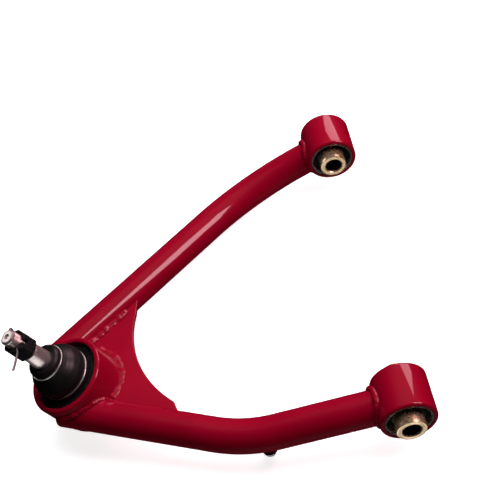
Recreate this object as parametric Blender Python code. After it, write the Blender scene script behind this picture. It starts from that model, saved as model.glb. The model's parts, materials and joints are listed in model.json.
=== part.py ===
"""Tubular upper control arm with two bonded bushings and a tilted ball joint.

Frame: the origin is the middle of the pivot axis, +Y runs along the pivot axis from the rear
eye to the front eye, -X points at the ball joint and +Z is the side that the stud is on.
Two bent tubes run from the bushing eyes to a thick ring that holds the ball joint, with a
web plate between them. The ball joint's pieces are modelled along the joint's own axis,
from the ball's centre towards the stud's tip.
"""

import math

import bmesh
import bpy
from mathutils import Matrix, Vector

MM = 0.001
GAP = 0.3 * MM  # between pieces that touch

# Arm
PIVOT_SPACING = 326 * MM
TUBE_OD = 31.75 * MM
TUBE_WALL = 3.2 * MM
BEND_RADIUS = 150 * MM
TUBE_END_X = -303 * MM  # the closed ends beside the ball joint ring
FRONT_APEX = Vector((-92, 165, -28)) * MM
FRONT_HEADING = Vector((0.761, 0.641, -0.105))
REAR_APEX = Vector((-142, -149, -13)) * MM
REAR_HEADING = Vector((0.901, -0.427, -0.077))

# Bushing eyes and what is bonded into them
EYE_OD = 50.5 * MM
EYE_BORE = 42.8 * MM
EYE_LENGTH = 44.5 * MM
SHELL_OD = 42.2 * MM
SHELL_WALL = 1.5 * MM
SHELL_LENGTH = 43.5 * MM
RUBBER_LENGTH = 36 * MM
SLEEVE_OD = 26.4 * MM
SLEEVE_BORE = 16.4 * MM
SLEEVE_LENGTH = 62 * MM

# Ball joint ring
JOINT_CENTRE = Vector((-284, -50.9, -0.5)) * MM
JOINT_TILT = math.radians(16.7)  # the stud leans outboard, towards -X
JOINT_LEAN = math.radians(2.5)  # and a little towards -Y
RING_OD = 77 * MM
RING_BORE = 66.6 * MM
RING_TOP = 25.5 * MM
RING_BOTTOM = -25 * MM
RING_FOOT_RADIUS = 36 * MM  # at the bottom, below a taper
RING_TAPER_Z = -14 * MM

# Web plate between the tubes
PLATE_THICKNESS = 5 * MM
PLATE_OFFSET = 3 * MM  # its middle, above the plane of the tubes
PLATE_FRONT_CORNER = Vector((-225.7, 18.3)) * MM
PLATE_REAR_CORNER = Vector((-198.6, -97.2)) * MM
PLATE_FRONT_EDGE = Vector((0.18, 0.98))
PLATE_REAR_EDGE = Vector((0.22, -0.975))
PLATE_ARC_RADIUS = 121 * MM
PLATE_FRONT_END_X = -286 * MM  # where its edges reach the tubes' centre lines, inside the ring's cut
PLATE_REAR_END_X = -264 * MM

# Hose bracket post on the rear tube, measured from the tube's centre line
POST_X = -122.5 * MM
POST_HEADING = Vector((-0.123, 0.123, -0.985))
POST_RADIUS = 4.8 * MM
POST_FOOT_RADIUS = 7 * MM
POST_FOOT_TOP = 19 * MM
POST_TOP = 30.2 * MM
SCREW_HEAD_RADIUS = 6.8 * MM
SCREW_HEAD_TOP = 36.4 * MM
SCREW_SHANK_RADIUS = 2.9 * MM
SCREW_HOLE_RADIUS = 3.2 * MM

# Ball joint pieces, along the joint's axis from the ball's centre
BALL_RADIUS = 14.5 * MM
LINER_INNER = 14.8 * MM
LINER_OUTER = 16.0 * MM
BEARING_INNER = 16.3 * MM
BEARING_OUTER = 18.9 * MM
HOUSING_RADIUS = 33.0 * MM
HOUSING_TOP = 20 * MM
HOUSING_BOTTOM = -19.6 * MM
BOSS_RADIUS = 21.8 * MM
BOSS_TOP = 22.4 * MM
CAP_RADIUS = 19.9 * MM
BOOT_BASE = 20.4 * MM
BOOT_TOP = 58.6 * MM
BASE_RING_RADIUS = 25 * MM
BASE_RING_Z = 26.3 * MM
NECK_RING_RADIUS = 17 * MM
NECK_RING_Z = 51.5 * MM
NUT_BASE = 79.5 * MM
NUT_TOP = 96.6 * MM
NUT_FLATS = 21.8 * MM
NUT_SLOT_DEPTH = 6 * MM
NUT_SLOT_WIDTH = 4.4 * MM
NUT_TURN = math.radians(11.6)  # where one corner of the hexagon points
STUD_TIP = 106.5 * MM
STUD_CHAMFER = 1.7 * MM
THREAD_RADIUS = 7.5 * MM
PIN_Z = 95.4 * MM
PIN_HOLE_RADIUS = 1.7 * MM
PIN_WIRE = 0.55 * MM
PIN_FOLD = 0.65 * MM  # from the pin's axis to each of its legs
PIN_EYE_RADIUS = 2.7 * MM
PIN_TURN = math.radians(281.6)  # the pin points at the middle of one of the nut's flats
PIN_BEND = math.radians(28)
PIN_LEG_LENGTH = 17 * MM

# Facets round each kind of piece
TUBE_SIDES = 20
EYE_SIDES = 32
RING_SIDES = 40
SMALL_SIDES = 20
ARC_STEPS = 9
FILLET_STEPS = 2


def clear_scene():
    for item in list(bpy.data.objects):
        bpy.data.objects.remove(item, do_unlink=True)


def paint(name, colour, roughness, metallic):
    """A Principled material."""
    made = bpy.data.materials.new(name)
    made.use_nodes = True
    shader = made.node_tree.nodes["Principled BSDF"]
    shader.inputs["Base Color"].default_value = (*colour, 1.0)
    shader.inputs["Roughness"].default_value = roughness
    shader.inputs["Metallic"].default_value = metallic
    return made


def place(name, mesh, material=None, parent=None):
    """An object made from a bmesh, on an empty that gives its frame."""
    data = bpy.data.meshes.new(name)
    bmesh.ops.recalc_face_normals(mesh, faces=mesh.faces)
    mesh.to_mesh(data)
    mesh.free()
    data.shade_smooth()
    data.set_sharp_from_angle(angle=math.radians(35))
    item = bpy.data.objects.new(name, data)
    bpy.context.collection.objects.link(item)
    item.parent = parent
    if material:
        data.materials.append(material)
    return item


def cutter(name, mesh, parent=None):
    item = place(name, mesh, parent=parent)
    item.hide_render = True
    item.display_type = "WIRE"
    return item


def cut(item, *tools):
    for tool in tools:
        step = item.modifiers.new("cut_" + tool.name, "BOOLEAN")
        step.operation = "DIFFERENCE"
        step.solver = "EXACT"
        step.object = tool


def frame_empty(name, origin, axis, across):
    """An empty whose local Z is the axis and whose local X is nearest to across."""
    z = axis.normalized()
    x = (across - z * across.dot(z)).normalized()
    y = z.cross(x)
    empty = bpy.data.objects.new(name, None)
    bpy.context.collection.objects.link(empty)
    empty.matrix_world = Matrix.Translation(origin) @ Matrix((x, y, z)).transposed().to_4x4()
    return empty


def filleted(corners, steps=FILLET_STEPS):
    """A closed profile of (r, z, fillet radius) corners, with each fillet as an arc."""
    points = []
    count = len(corners)
    for i, (r, z, radius) in enumerate(corners):
        here = Vector((r, z))
        if not radius:
            points.append(here)
            continue
        before = (Vector(corners[i - 1][:2]) - here).normalized()
        after = (Vector(corners[(i + 1) % count][:2]) - here).normalized()
        half = before.angle(after) / 2
        middle = here + (before + after).normalized() * radius / math.sin(half)
        first = here + before * radius / math.tan(half) - middle
        last = here + after * radius / math.tan(half) - middle
        turn = first.angle_signed(last)
        for k in range(steps + 1):
            # Positive angles are clockwise for Vector.angle_signed.
            angle = -turn * k / steps
            points.append(
                middle
                + Vector(
                    (
                        first.x * math.cos(angle) - first.y * math.sin(angle),
                        first.x * math.sin(angle) + first.y * math.cos(angle),
                    )
                )
            )
    return points


def sphere_arc(radius, start_deg, end_deg, steps):
    """Points on a sphere's section, by the polar angle from +Z."""
    angles = [math.radians(start_deg + (end_deg - start_deg) * k / steps) for k in range(steps + 1)]
    return [Vector((radius * math.sin(a), radius * math.cos(a))) for a in angles]


def turned(profile, sides):
    """A closed profile of (r, z) points turned about Z. Points on the axis become poles."""
    mesh = bmesh.new()
    rings = []
    for r, z in profile:
        if abs(r) < 1e-9:
            rings.append([mesh.verts.new((0, 0, z))])
            continue
        angles = (2 * math.pi * k / sides for k in range(sides))
        rings.append([mesh.verts.new((r * math.cos(a), r * math.sin(a), z)) for a in angles])
    for ring, after in zip(rings, rings[1:] + rings[:1]):
        if len(ring) == 1 and len(after) == 1:
            continue
        for k in range(sides):
            n = (k + 1) % sides
            if len(ring) == 1:
                mesh.faces.new((ring[0], after[k], after[n]))
            elif len(after) == 1:
                mesh.faces.new((ring[k], after[0], ring[n]))
            else:
                mesh.faces.new((ring[k], after[k], after[n], ring[n]))
    return mesh


def rod(radius, low, high, sides):
    return turned([Vector((0, low)), Vector((radius, low)), Vector((radius, high)), Vector((0, high))], sides)


def torus(radius, z, wire, sides, wire_sides=6):
    angles = (2 * math.pi * k / wire_sides for k in range(wire_sides))
    return turned([Vector((radius + wire * math.cos(a), z + wire * math.sin(a))) for a in angles], sides)


def hexagon(flats, low, high, turn):
    """A hexagonal prism with one corner at the angle turn."""
    mesh = bmesh.new()
    reach = flats / math.sqrt(3)
    corners = [turn + math.pi * k / 3 for k in range(6)]
    rims = [[mesh.verts.new((reach * math.cos(a), reach * math.sin(a), z)) for a in corners] for z in (low, high)]
    mesh.faces.new(rims[0])
    mesh.faces.new(rims[1])
    for k in range(6):
        n = (k + 1) % 6
        mesh.faces.new((rims[0][k], rims[0][n], rims[1][n], rims[1][k]))
    return mesh


def box(centre, size, turn):
    """A box turned about Z."""
    mesh = bmesh.new()
    bmesh.ops.create_cube(mesh, size=1)
    bmesh.ops.scale(mesh, vec=size, verts=mesh.verts)
    bmesh.ops.translate(mesh, vec=centre, verts=mesh.verts)
    bmesh.ops.rotate(mesh, matrix=Matrix.Rotation(turn, 3, "Z"), verts=mesh.verts)
    return mesh


def sweep(path, outer, inner=None, sides=TUBE_SIDES, first_side=Vector((0, 0, 1))):
    """A round bar along a path of points. With an inner radius it is a tube that is closed at its
    first end and open at its last."""
    mesh = bmesh.new()

    def rings(points, radius):
        side = first_side
        made = []
        for i, point in enumerate(points):
            ahead = points[min(i + 1, len(points) - 1)] - points[max(i - 1, 0)]
            along = ahead.normalized()
            side = (side - along * side.dot(along)).normalized()
            other = along.cross(side)
            angles = (2 * math.pi * k / sides for k in range(sides))
            made.append(
                [mesh.verts.new(point + radius * (side * math.cos(a) + other * math.sin(a))) for a in angles]
            )
        return made

    def skin(made):
        for ring, after in zip(made, made[1:]):
            for k in range(sides):
                n = (k + 1) % sides
                mesh.faces.new((ring[k], ring[n], after[n], after[k]))

    outside = rings(path, outer)
    skin(outside)
    mesh.faces.new(outside[0])
    if not inner:
        mesh.faces.new(outside[-1])
        return mesh
    start = path[0] + (path[1] - path[0]).normalized() * TUBE_WALL
    inside = rings([start] + path[1:], inner)
    skin(inside)
    mesh.faces.new(inside[0])
    for k in range(sides):
        n = (k + 1) % sides
        mesh.faces.new((outside[-1][k], outside[-1][n], inside[-1][n], inside[-1][k]))
    return mesh


def leg_path(apex, heading, eye):
    """The centre line of a leg: straight from the ring, one bend at the apex, straight to the eye."""
    heading = heading.normalized()
    start = apex + heading * (TUBE_END_X - apex.x) / heading.x
    back = -heading
    ahead = (eye - apex).normalized()
    half = back.angle(ahead) / 2
    reach = BEND_RADIUS / math.tan(half)
    middle = apex + (back + ahead).normalized() * BEND_RADIUS / math.sin(half)
    first = apex + back * reach - middle
    last = apex + ahead * reach - middle
    turn = first.angle(last)
    points = [start]
    for k in range(ARC_STEPS + 1):
        share = k / ARC_STEPS
        weights = math.sin((1 - share) * turn) / math.sin(turn), math.sin(share * turn) / math.sin(turn)
        points.append(middle + first * weights[0] + last * weights[1])
    points.append(eye)
    return points


def path_point(path, x):
    """The point of a path at one X, and its direction there."""
    for low, high in zip(path, path[1:]):
        if low.x <= x <= high.x:
            share = (x - low.x) / (high.x - low.x)
            return low.lerp(high, share), (high - low).normalized()
    raise ValueError("no point of the path is at this X")


def build_legs(paints, joint, eyes):
    """Two bent tubes, coped round the ball joint ring and the bushing eyes."""
    ring_tool = cutter("ring_cutter", rod(RING_OD / 2 + GAP, -0.08, 0.08, RING_SIDES), joint)
    paths = {}
    bars = {}
    for name, apex, heading in (("front", FRONT_APEX, FRONT_HEADING), ("rear", REAR_APEX, REAR_HEADING)):
        empty = eyes[name]
        path = leg_path(apex, heading, empty.matrix_world.translation)
        tube = place(name + "_tube", sweep(path, TUBE_OD / 2, TUBE_OD / 2 - TUBE_WALL), paints["red"])
        eye_tool = cutter(name + "_eye_cutter", rod(EYE_OD / 2 + GAP, -0.06, 0.06, EYE_SIDES), empty)
        cut(tube, ring_tool, eye_tool)
        bars[name] = cutter(name + "_bar_cutter", sweep(path, TUBE_OD / 2 + GAP))
        paths[name] = path
    return paths, bars, ring_tool


def build_plate(paints, paths, bars, ring_tool):
    """The web plate: its edges follow the tubes and the ring, and its inner edge is an arc."""
    along_front = FRONT_HEADING.normalized()
    along_rear = REAR_HEADING.normalized()
    normal = along_rear.cross(along_front).normalized()
    base = paths["front"][0]

    def lifted(flat):
        height = base.z - (normal.x * (flat.x - base.x) + normal.y * (flat.y - base.y)) / normal.z
        return Vector((flat.x, flat.y, height))

    chord = PLATE_REAR_CORNER - PLATE_FRONT_CORNER
    middle = (PLATE_FRONT_CORNER + PLATE_REAR_CORNER) / 2
    inward = Vector((-chord.y, chord.x)).normalized()
    centre = middle + inward * math.sqrt(PLATE_ARC_RADIUS**2 - (chord.length / 2) ** 2)
    first = PLATE_FRONT_CORNER - centre
    last = PLATE_REAR_CORNER - centre
    start = math.atan2(first.y, first.x) % (2 * math.pi)
    end = math.atan2(last.y, last.x) % (2 * math.pi)
    steps = 14
    arc = [
        centre + PLATE_ARC_RADIUS * Vector((math.cos(a), math.sin(a)))
        for a in (start + (end - start) * k / steps for k in range(steps + 1))
    ]
    outline = [PLATE_FRONT_CORNER + PLATE_FRONT_EDGE * TUBE_OD * 0.8]
    outline += arc
    outline += [PLATE_REAR_CORNER + PLATE_REAR_EDGE * TUBE_OD * 0.55]
    outline += [path_point(paths["rear"], PLATE_REAR_END_X)[0].xy]
    outline += [path_point(paths["front"], PLATE_FRONT_END_X)[0].xy]
    mesh = bmesh.new()
    low = [mesh.verts.new(lifted(p) + normal * (PLATE_OFFSET - PLATE_THICKNESS / 2)) for p in outline]
    high = [mesh.verts.new(v.co + normal * PLATE_THICKNESS) for v in low]
    mesh.faces.new(low)
    mesh.faces.new(high)
    for k in range(len(outline)):
        n = (k + 1) % len(outline)
        mesh.faces.new((low[k], low[n], high[n], high[k]))
    plate = place("gusset_plate", mesh, paints["red"])
    cut(plate, bars["front"], bars["rear"], ring_tool)


def build_ring(paints, joint):
    half = RING_OD / 2
    bore = RING_BORE / 2
    profile = filleted(
        [
            (half, RING_TOP, 2.4 * MM),
            (half, RING_TAPER_Z, 9 * MM),
            (RING_FOOT_RADIUS, RING_BOTTOM, 1.2 * MM),
            (bore, RING_BOTTOM, 0.8 * MM),
            (bore, RING_TOP, 1.2 * MM),
        ]
    )
    place("ball_joint_ring", turned(profile, RING_SIDES), paints["red"], joint)


def build_bushing(paints, name, empty):
    """An eye with its outer shell, rubber and inner sleeve, along the empty's Z."""
    half = EYE_LENGTH / 2
    eye = [
        (EYE_OD / 2, half, 2.2 * MM),
        (EYE_OD / 2, -half, 2.2 * MM),
        (EYE_BORE / 2, -half, 0.8 * MM),
        (EYE_BORE / 2, half, 0.8 * MM),
    ]
    place(name + "_bushing_eye", turned(filleted(eye), EYE_SIDES), paints["red"], empty)
    shell_half = SHELL_LENGTH / 2
    shell_bore = SHELL_OD / 2 - SHELL_WALL
    shell = [
        Vector((SHELL_OD / 2, shell_half)),
        Vector((SHELL_OD / 2, -shell_half)),
        Vector((shell_bore, -shell_half)),
        Vector((shell_bore, shell_half)),
    ]
    place(name + "_bushing_shell", turned(shell, EYE_SIDES), paints["zinc"], empty)
    rubber_half = RUBBER_LENGTH / 2
    outer = shell_bore - GAP
    inner = SLEEVE_OD / 2 + GAP
    waist = (outer + inner) / 2
    dish = 2 * MM
    rubber = [
        Vector((outer, rubber_half)),
        Vector((outer, -rubber_half)),
        Vector((waist, -rubber_half + dish)),
        Vector((inner, -rubber_half)),
        Vector((inner, rubber_half)),
        Vector((waist, rubber_half - dish)),
    ]
    place(name + "_bushing_rubber", turned(rubber, EYE_SIDES), paints["rubber"], empty)
    sleeve_half = SLEEVE_LENGTH / 2
    sleeve = [
        (SLEEVE_OD / 2, sleeve_half, 1.0 * MM),
        (SLEEVE_OD / 2, -sleeve_half, 1.0 * MM),
        (SLEEVE_BORE / 2, -sleeve_half, 0),
        (SLEEVE_BORE / 2, sleeve_half, 0),
    ]
    place(name + "_bushing_sleeve", turned(filleted(sleeve, 1), SMALL_SIDES), paints["gold"], empty)


def build_post(paints, paths, bars):
    """The hose bracket's post on the rear tube, and its socket head screw."""
    foot, along = path_point(paths["rear"], POST_X)
    empty = frame_empty("bracket_frame", foot, POST_HEADING, along)
    hole = SCREW_HOLE_RADIUS
    hole_floor = POST_FOOT_TOP - 3 * MM
    post = [
        Vector((0, 12 * MM)),
        Vector((POST_FOOT_RADIUS, 12 * MM)),
        Vector((POST_FOOT_RADIUS, POST_FOOT_TOP - 1 * MM)),
        Vector((POST_FOOT_RADIUS - 1 * MM, POST_FOOT_TOP)),
        Vector((POST_RADIUS, POST_FOOT_TOP)),
        Vector((POST_RADIUS, POST_TOP)),
        Vector((hole, POST_TOP)),
        Vector((hole, hole_floor)),
        Vector((0, hole_floor)),
    ]
    item = place("bracket_post", turned(post, SMALL_SIDES), paints["black"], empty)
    cut(item, bars["rear"])
    seat = POST_TOP + GAP
    screw = [
        Vector((0, hole_floor + 1 * MM)),
        Vector((SCREW_SHANK_RADIUS, hole_floor + 1 * MM)),
        Vector((SCREW_SHANK_RADIUS, seat)),
        Vector((SCREW_HEAD_RADIUS, seat)),
        Vector((SCREW_HEAD_RADIUS, seat + 1.6 * MM)),
        Vector((SCREW_HEAD_RADIUS * 0.88, seat + 3.8 * MM)),
        Vector((SCREW_HEAD_RADIUS * 0.62, SCREW_HEAD_TOP)),
        Vector((0, SCREW_HEAD_TOP)),
    ]
    item = place("bracket_screw", turned(screw, SMALL_SIDES), paints["chrome"], empty)
    socket = hexagon(4 * MM, SCREW_HEAD_TOP - 2.8 * MM, SCREW_HEAD_TOP + 5 * MM, 0)
    cut(item, cutter("socket_cutter", socket, empty))


def build_housing(paints, joint):
    """The pressed-in housing, with its two bearings, spring, end cap and grease fitting."""
    cavity = BEARING_OUTER + GAP
    cavity_top = 12.5 * MM
    cap_bore = CAP_RADIUS + GAP
    cap_seat = -16.2 * MM
    housing = [
        Vector((HOUSING_RADIUS, HOUSING_TOP - 1.5 * MM)),
        Vector((HOUSING_RADIUS, HOUSING_BOTTOM + 1.5 * MM)),
        Vector((HOUSING_RADIUS - 1.5 * MM, HOUSING_BOTTOM)),
        Vector((cap_bore, HOUSING_BOTTOM)),
        Vector((cap_bore, cap_seat)),
        Vector((cavity, cap_seat)),
        Vector((cavity, cavity_top)),
        Vector((14.0 * MM, cavity_top)),
        Vector((19.4 * MM, BOSS_TOP)),
        Vector((BOSS_RADIUS, BOSS_TOP)),
        Vector((BOSS_RADIUS, HOUSING_TOP)),
        Vector((HOUSING_RADIUS - 1.5 * MM, HOUSING_TOP)),
    ]
    place("ball_joint_housing", turned(housing, RING_SIDES), paints["black"], joint)

    seam = 0.15 * MM
    upper = sphere_arc(BEARING_INNER, 52, 89.4, 5)
    upper += [Vector((BEARING_OUTER, seam)), Vector((BEARING_OUTER, 12.2 * MM)), Vector((13.8 * MM, 12.2 * MM))]
    place("upper_bearing", turned(upper, SMALL_SIDES), paints["nylon"], joint)
    lower = sphere_arc(BEARING_INNER, 90.6, 140, 6)
    lower += [Vector((10.5 * MM, -14.6 * MM)), Vector((BEARING_OUTER, -14.6 * MM)), Vector((BEARING_OUTER, -seam))]
    place("lower_bearing", turned(lower, SMALL_SIDES), paints["nylon"], joint)
    liner = sphere_arc(LINER_OUTER, 50, 130, 6) + sphere_arc(LINER_INNER, 130, 50, 6)
    place("ball_liner", turned(liner, SMALL_SIDES), paints["nylon"], joint)
    spring = [
        Vector((18.4 * MM, -15.4 * MM)),
        Vector((18.4 * MM, -16.2 * MM)),
        Vector((11.5 * MM, -15.75 * MM)),
        Vector((11.5 * MM, -14.95 * MM)),
    ]
    place("preload_spring", turned(spring, SMALL_SIDES), paints["zinc"], joint)

    hole = 2.6 * MM
    cap = [
        Vector((hole, -16.5 * MM)),
        Vector((CAP_RADIUS, -16.5 * MM)),
        Vector((CAP_RADIUS, -20.2 * MM)),
        Vector((17.6 * MM, -21.2 * MM)),
        Vector((14.6 * MM, -21.2 * MM)),
        Vector((13.2 * MM, -19.0 * MM)),
        Vector((8.0 * MM, -19.0 * MM)),
        Vector((5.2 * MM, -20.4 * MM)),
        Vector((hole, -20.4 * MM)),
    ]
    place("ball_joint_cap", turned(cap, EYE_SIDES), paints["gold"], joint)
    fitting = [
        Vector((0, -17.2 * MM)),
        Vector((2.3 * MM, -17.2 * MM)),
        Vector((2.3 * MM, -20.7 * MM)),
        Vector((3.9 * MM, -20.7 * MM)),
        Vector((3.9 * MM, -22.8 * MM)),
        Vector((2.4 * MM, -23.2 * MM)),
        Vector((2.1 * MM, -24.2 * MM)),
        Vector((2.9 * MM, -25.2 * MM)),
        Vector((2.5 * MM, -26.4 * MM)),
        Vector((0, -26.8 * MM)),
    ]
    place("grease_fitting", turned(fitting, 16), paints["zinc"], joint)


def build_boot(paints, joint):
    """The dust boot and the two wire rings that hold it."""
    boot = [
        (24.1 * MM, BOOT_BASE, 0),
        (22.2 * MM, BOOT_BASE, 0),
        (22.2 * MM, 27.6 * MM, 0),
        (23.6 * MM, 30.5 * MM, 0),
        (23.6 * MM, 38.0 * MM, 3 * MM),
        (19.4 * MM, 45.2 * MM, 3 * MM),
        (13.6 * MM, 50.4 * MM, 2 * MM),
        (10.3 * MM, 53.6 * MM, 0),
        (10.3 * MM, BOOT_TOP, 0),
        (14.6 * MM, BOOT_TOP, 2 * MM),
        (16.4 * MM, 53.4 * MM, 0),
        (15.9 * MM, 52.6 * MM, 0),
        (15.9 * MM, 50.4 * MM, 0),
        (17.9 * MM, 49.8 * MM, 0),
        (22.6 * MM, 45.4 * MM, 4 * MM),
        (25.8 * MM, 38.0 * MM, 5 * MM),
        (25.6 * MM, 28.4 * MM, 1 * MM),
        (23.9 * MM, 27.5 * MM, 0),
        (23.9 * MM, 25.1 * MM, 0),
        (24.6 * MM, 24.6 * MM, 0),
    ]
    place("dust_boot", turned(filleted(boot, 1), EYE_SIDES), paints["rubber"], joint)
    place("boot_base_ring", torus(BASE_RING_RADIUS, BASE_RING_Z, 0.8 * MM, EYE_SIDES), paints["zinc"], joint)
    place("boot_neck_ring", torus(NECK_RING_RADIUS, NECK_RING_Z, 0.75 * MM, EYE_SIDES), paints["zinc"], joint)


def build_stud(paints, joint):
    """The ball stud, its castle nut and the cotter pin."""
    neck = 7.4 * MM
    neck_deg = math.degrees(math.asin(neck / BALL_RADIUS))
    ball = sphere_arc(BALL_RADIUS, 160, neck_deg, 10)
    stud = [Vector((0, ball[0].y)), *ball]
    stud += [
        Vector((neck, 26 * MM)),
        Vector((8.0 * MM, 37 * MM)),
        Vector((9.9 * MM, 43 * MM)),
        Vector((9.9 * MM, 51 * MM)),
        Vector((8.65 * MM, 76.5 * MM)),
        Vector((THREAD_RADIUS, 77.6 * MM)),
        Vector((THREAD_RADIUS, STUD_TIP - STUD_CHAMFER)),
        Vector((THREAD_RADIUS - STUD_CHAMFER, STUD_TIP)),
        Vector((0, STUD_TIP)),
    ]
    item = place("ball_stud", turned(stud, SMALL_SIDES), paints["steel"], joint)
    pin_frame = frame_empty(
        "pin_frame",
        joint.matrix_world @ Vector((0, 0, PIN_Z)),
        joint.matrix_world.to_3x3() @ Vector((math.cos(PIN_TURN), math.sin(PIN_TURN), 0)),
        joint.matrix_world.to_3x3() @ Vector((0, 0, 1)),
    )
    cut(item, cutter("pin_hole_cutter", rod(PIN_HOLE_RADIUS, -0.02, 0.02, 12), pin_frame))

    nut = place("castle_nut", hexagon(NUT_FLATS, NUT_BASE, NUT_TOP, NUT_TURN), paints["black"], joint)
    tools = [cutter("nut_bore_cutter", rod(THREAD_RADIUS + GAP, 0.06, 0.12, SMALL_SIDES), joint)]
    slot_size = (2 * NUT_FLATS, NUT_SLOT_WIDTH, 2 * NUT_SLOT_DEPTH)
    for k in range(3):
        slot = box((0, 0, NUT_TOP), slot_size, PIN_TURN + k * math.pi / 3)
        tools.append(cutter(f"slot_{k}_cutter", slot, joint))
    cut(nut, *tools)
    pin = sweep(pin_path(), PIN_WIRE, sides=8, first_side=Vector((1, 0, 0)))
    place("cotter_pin", pin, paints["steel"], pin_frame)


def pin_path():
    """The folded wire of the cotter pin: a leg's tip, the shank, the eye and back. Local Z runs
    through the stud, X runs along the stud, and the legs bend towards Y."""
    bend_start = NUT_FLATS / 2 + 1.2 * MM
    bend_radius = 4 * MM
    legs = []
    for side, share in ((1, 1.0), (-1, 0.9)):
        leg = []
        for k in range(4):
            angle = PIN_BEND * k / 3
            y = bend_radius * (1 - math.cos(angle))
            leg.append(Vector((side * PIN_FOLD, y, bend_start + bend_radius * math.sin(angle))))
        along = Vector((side * 0.06, math.sin(PIN_BEND), math.cos(PIN_BEND)))
        leg.append(leg[-1] + along * PIN_LEG_LENGTH * share)
        legs.append(leg)
    eye_z = -(NUT_FLATS / 2 + PIN_WIRE + PIN_EYE_RADIUS)
    eye = []
    for k in range(9):
        angle = math.radians(40 + 280 * k / 8)
        eye.append(Vector((math.sin(angle), 0, math.cos(angle))) * PIN_EYE_RADIUS + Vector((0, 0, eye_z)))
    neck_z = eye_z + PIN_EYE_RADIUS + PIN_WIRE
    necks = [Vector((side * PIN_FOLD, 0, neck_z)) for side in (1, -1)]
    return [*reversed(legs[0]), necks[0], *eye, necks[1], *legs[1]]


def main():
    clear_scene()
    paints = {
        "red": paint("red_coat", (0.30, 0.0, 0.015), 0.25, 0.1),
        "black": paint("black_steel", (0.012, 0.012, 0.012), 0.35, 0.6),
        "rubber": paint("rubber", (0.01, 0.01, 0.01), 0.5, 0.0),
        "gold": paint("yellow_zinc", (0.55, 0.42, 0.22), 0.3, 1.0),
        "zinc": paint("bright_zinc", (0.6, 0.58, 0.55), 0.3, 1.0),
        "steel": paint("bare_steel", (0.5, 0.45, 0.42), 0.35, 1.0),
        "chrome": paint("chrome", (0.7, 0.7, 0.7), 0.12, 1.0),
        "nylon": paint("nylon", (0.7, 0.66, 0.55), 0.5, 0.0),
    }
    across = Vector((1, 0, 0))
    axis = Vector((-math.sin(JOINT_TILT), -math.sin(JOINT_LEAN), math.cos(JOINT_TILT)))
    joint = frame_empty("ball_joint_frame", JOINT_CENTRE, axis, across)
    eyes = {}
    for name, side in (("front", 1), ("rear", -1)):
        centre = Vector((0, side * PIVOT_SPACING / 2, 0))
        eyes[name] = frame_empty(name + "_eye_frame", centre, Vector((0, 1, 0)), across)
        build_bushing(paints, name, eyes[name])
    bpy.context.view_layer.update()
    build_ring(paints, joint)
    paths, bars, ring_tool = build_legs(paints, joint, eyes)
    build_plate(paints, paths, bars, ring_tool)
    build_post(paints, paths, bars)
    build_housing(paints, joint)
    build_boot(paints, joint)
    build_stud(paints, joint)


main()
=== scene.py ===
"""Tubular control arm: detailed pieces on the CAD model's bodies, a white studio and the camera."""

import json
import math
import random

import bmesh
import bpy
from mathutils import Matrix, Vector


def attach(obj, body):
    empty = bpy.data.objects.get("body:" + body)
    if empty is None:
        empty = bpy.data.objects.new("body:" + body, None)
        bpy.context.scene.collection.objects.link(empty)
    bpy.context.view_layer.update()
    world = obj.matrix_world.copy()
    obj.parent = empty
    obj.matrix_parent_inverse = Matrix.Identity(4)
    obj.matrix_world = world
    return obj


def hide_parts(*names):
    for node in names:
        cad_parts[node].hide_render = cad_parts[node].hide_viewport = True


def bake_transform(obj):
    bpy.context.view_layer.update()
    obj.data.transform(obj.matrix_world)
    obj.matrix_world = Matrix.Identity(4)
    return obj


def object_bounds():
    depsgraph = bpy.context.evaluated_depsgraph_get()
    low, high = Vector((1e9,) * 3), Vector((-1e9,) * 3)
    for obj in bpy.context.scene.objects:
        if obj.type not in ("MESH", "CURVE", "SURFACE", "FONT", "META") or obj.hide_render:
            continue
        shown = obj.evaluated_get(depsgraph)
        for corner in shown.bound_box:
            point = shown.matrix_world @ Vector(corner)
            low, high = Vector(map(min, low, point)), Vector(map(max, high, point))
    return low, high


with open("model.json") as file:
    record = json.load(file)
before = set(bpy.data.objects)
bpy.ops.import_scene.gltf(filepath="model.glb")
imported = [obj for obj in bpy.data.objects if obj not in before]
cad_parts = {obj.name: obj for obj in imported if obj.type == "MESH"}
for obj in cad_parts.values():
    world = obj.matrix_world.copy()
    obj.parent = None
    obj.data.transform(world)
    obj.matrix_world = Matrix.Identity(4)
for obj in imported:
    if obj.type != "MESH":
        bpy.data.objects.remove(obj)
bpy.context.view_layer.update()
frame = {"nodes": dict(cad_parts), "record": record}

MM = 0.001
UP = Vector((0, 0, 1))

# The arm's driving sizes, as the CAD has them
TUBE_RADIUS = 15.875 * MM
TUBE_WALL = 3.2 * MM
BEND_RADIUS = 150 * MM
TUBE_END_X = -303 * MM
FRONT_APEX = Vector((-92, 165, -28)) * MM
FRONT_HEADING = Vector((0.761, 0.641, -0.105)).normalized()
REAR_APEX = Vector((-142, -149, -13)) * MM
REAR_HEADING = Vector((0.901, -0.427, -0.077)).normalized()
LEGS = (("front", FRONT_APEX, FRONT_HEADING), ("rear", REAR_APEX, REAR_HEADING))
EYE_RADIUS = 25.25 * MM
EYE_BORE = 21.4 * MM
EYE_HALF = 22.25 * MM
RING_RADIUS = 38.5 * MM
RING_BORE = 33.3 * MM
RING_TOP = 25.5 * MM
RING_BOTTOM = -25 * MM
RING_FOOT_RADIUS = 36 * MM
RING_TAPER_Z = -14 * MM
PLATE_THICKNESS = 5 * MM
PLATE_OFFSET = 3 * MM
PLATE_FRONT_CORNER = Vector((-225.7, 18.3)) * MM
PLATE_REAR_CORNER = Vector((-198.6, -97.2)) * MM
PLATE_FRONT_EDGE = Vector((0.18, 0.98))
PLATE_REAR_EDGE = Vector((0.22, -0.975))
PLATE_ARC_RADIUS = 121 * MM
PLATE_FRONT_END_X = -286 * MM
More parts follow.
